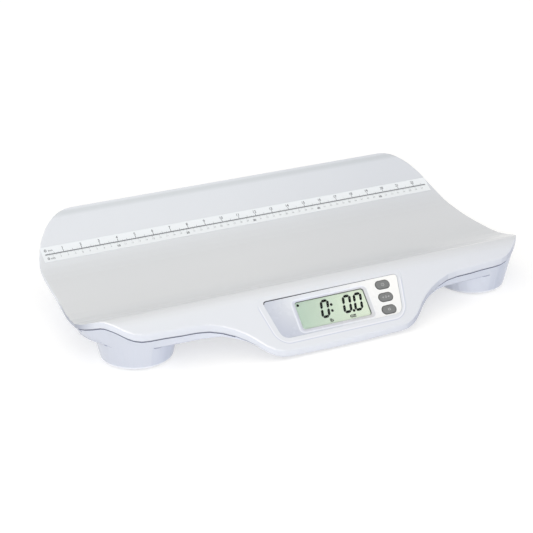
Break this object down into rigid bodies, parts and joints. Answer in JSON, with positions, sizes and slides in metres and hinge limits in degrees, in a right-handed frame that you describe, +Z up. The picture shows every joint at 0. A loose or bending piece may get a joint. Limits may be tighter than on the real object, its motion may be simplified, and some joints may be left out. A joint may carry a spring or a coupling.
{
  "type": "baby scale",
  "caption": "Digital baby scale: a one-piece concave lying tray with a measuring tape along its back, on a low base with round foot cups and a front display with oval keys.",
  "frame": {"origin": "on the table, under the middle of the tray's outline", "axes": "+X along the tray, to the right for someone who reads the display; +Y from the display towards the back wall; +Z up"},
  "size_m": [0.629, 0.3367, 0.1076],
  "materials": {
    "tray_white": "satin moulded white",
    "base_white": "satin moulded white",
    "tape_white": "printed film",
    "panel_grey": "smooth pale grey",
    "window_clear": "clear",
    "lcd_glass": "pale green display",
    "inner_white": "moulded",
    "board_green": "solder mask",
    "mat_rubber": "silicone",
    "key_grey": "matt dark grey",
    "foot_rubber": "matt",
    "steel": "zinc plated",
    "cell_sleeve": "plain dark sleeve"
  },
  "bodies": {
    "scale_body": {"tray_shell": "tray_white", "base_shell": "base_white", "measuring_tape": "tape_white", "display_fascia": "panel_grey", "display_window": "window_clear", "lcd_panel": "lcd_glass", "lcd_frame": "inner_white", "display_board": "board_green", "key_mat": "mat_rubber", "foot_pad_front_left": "foot_rubber", "foot_plug_front_left": "inner_white", "load_cell_front_left": "steel", "cell_holder_front_left": "inner_white", "foot_pad_front_right": "foot_rubber", "foot_plug_front_right": "inner_white", "load_cell_front_right": "steel", "cell_holder_front_right": "inner_white", "foot_pad_rear_left": "foot_rubber", "foot_plug_rear_left": "inner_white", "load_cell_rear_left": "steel", "cell_holder_rear_left": "inner_white", "foot_pad_rear_right": "foot_rubber", "foot_plug_rear_right": "inner_white", "load_cell_rear_right": "steel", "cell_holder_rear_right": "inner_white", "battery_front_spring_end": "cell_sleeve", "battery_front_nub_end": "cell_sleeve", "battery_rear_spring_end": "cell_sleeve", "battery_rear_nub_end": "cell_sleeve", "battery_contact_bridge": "steel", "battery_contact_negative": "steel", "battery_contact_positive": "steel", "housing_screw_1": "steel", "housing_screw_2": "steel", "housing_screw_3": "steel", "housing_screw_4": "steel", "housing_screw_5": "steel", "housing_screw_6": "steel"},
    "button_upper": {"button_upper": "key_grey"},
    "button_middle": {"button_middle": "key_grey"},
    "button_lower": {"button_lower": "key_grey"},
    "battery_door": {"battery_door": "base_white"}
  },
  "joints": [
    {"name": "button_upper_press", "type": "slide", "parent": "scale_body", "child": "button_upper", "axis": [0, 0.6947, -0.7193], "range_m": [0, 0.001], "stiffness_N_per_m": 600},
    {"name": "button_middle_press", "type": "slide", "parent": "scale_body", "child": "button_middle", "axis": [0, 0.6947, -0.7193], "range_m": [0, 0.001], "stiffness_N_per_m": 600},
    {"name": "button_lower_press", "type": "slide", "parent": "scale_body", "child": "button_lower", "axis": [0, 0.6947, -0.7193], "range_m": [0, 0.001], "stiffness_N_per_m": 600},
    {"name": "battery_door_slide", "type": "slide", "parent": "scale_body", "child": "battery_door", "axis": [0, 1, 0], "range_m": [0, 0.008]}
  ]
}
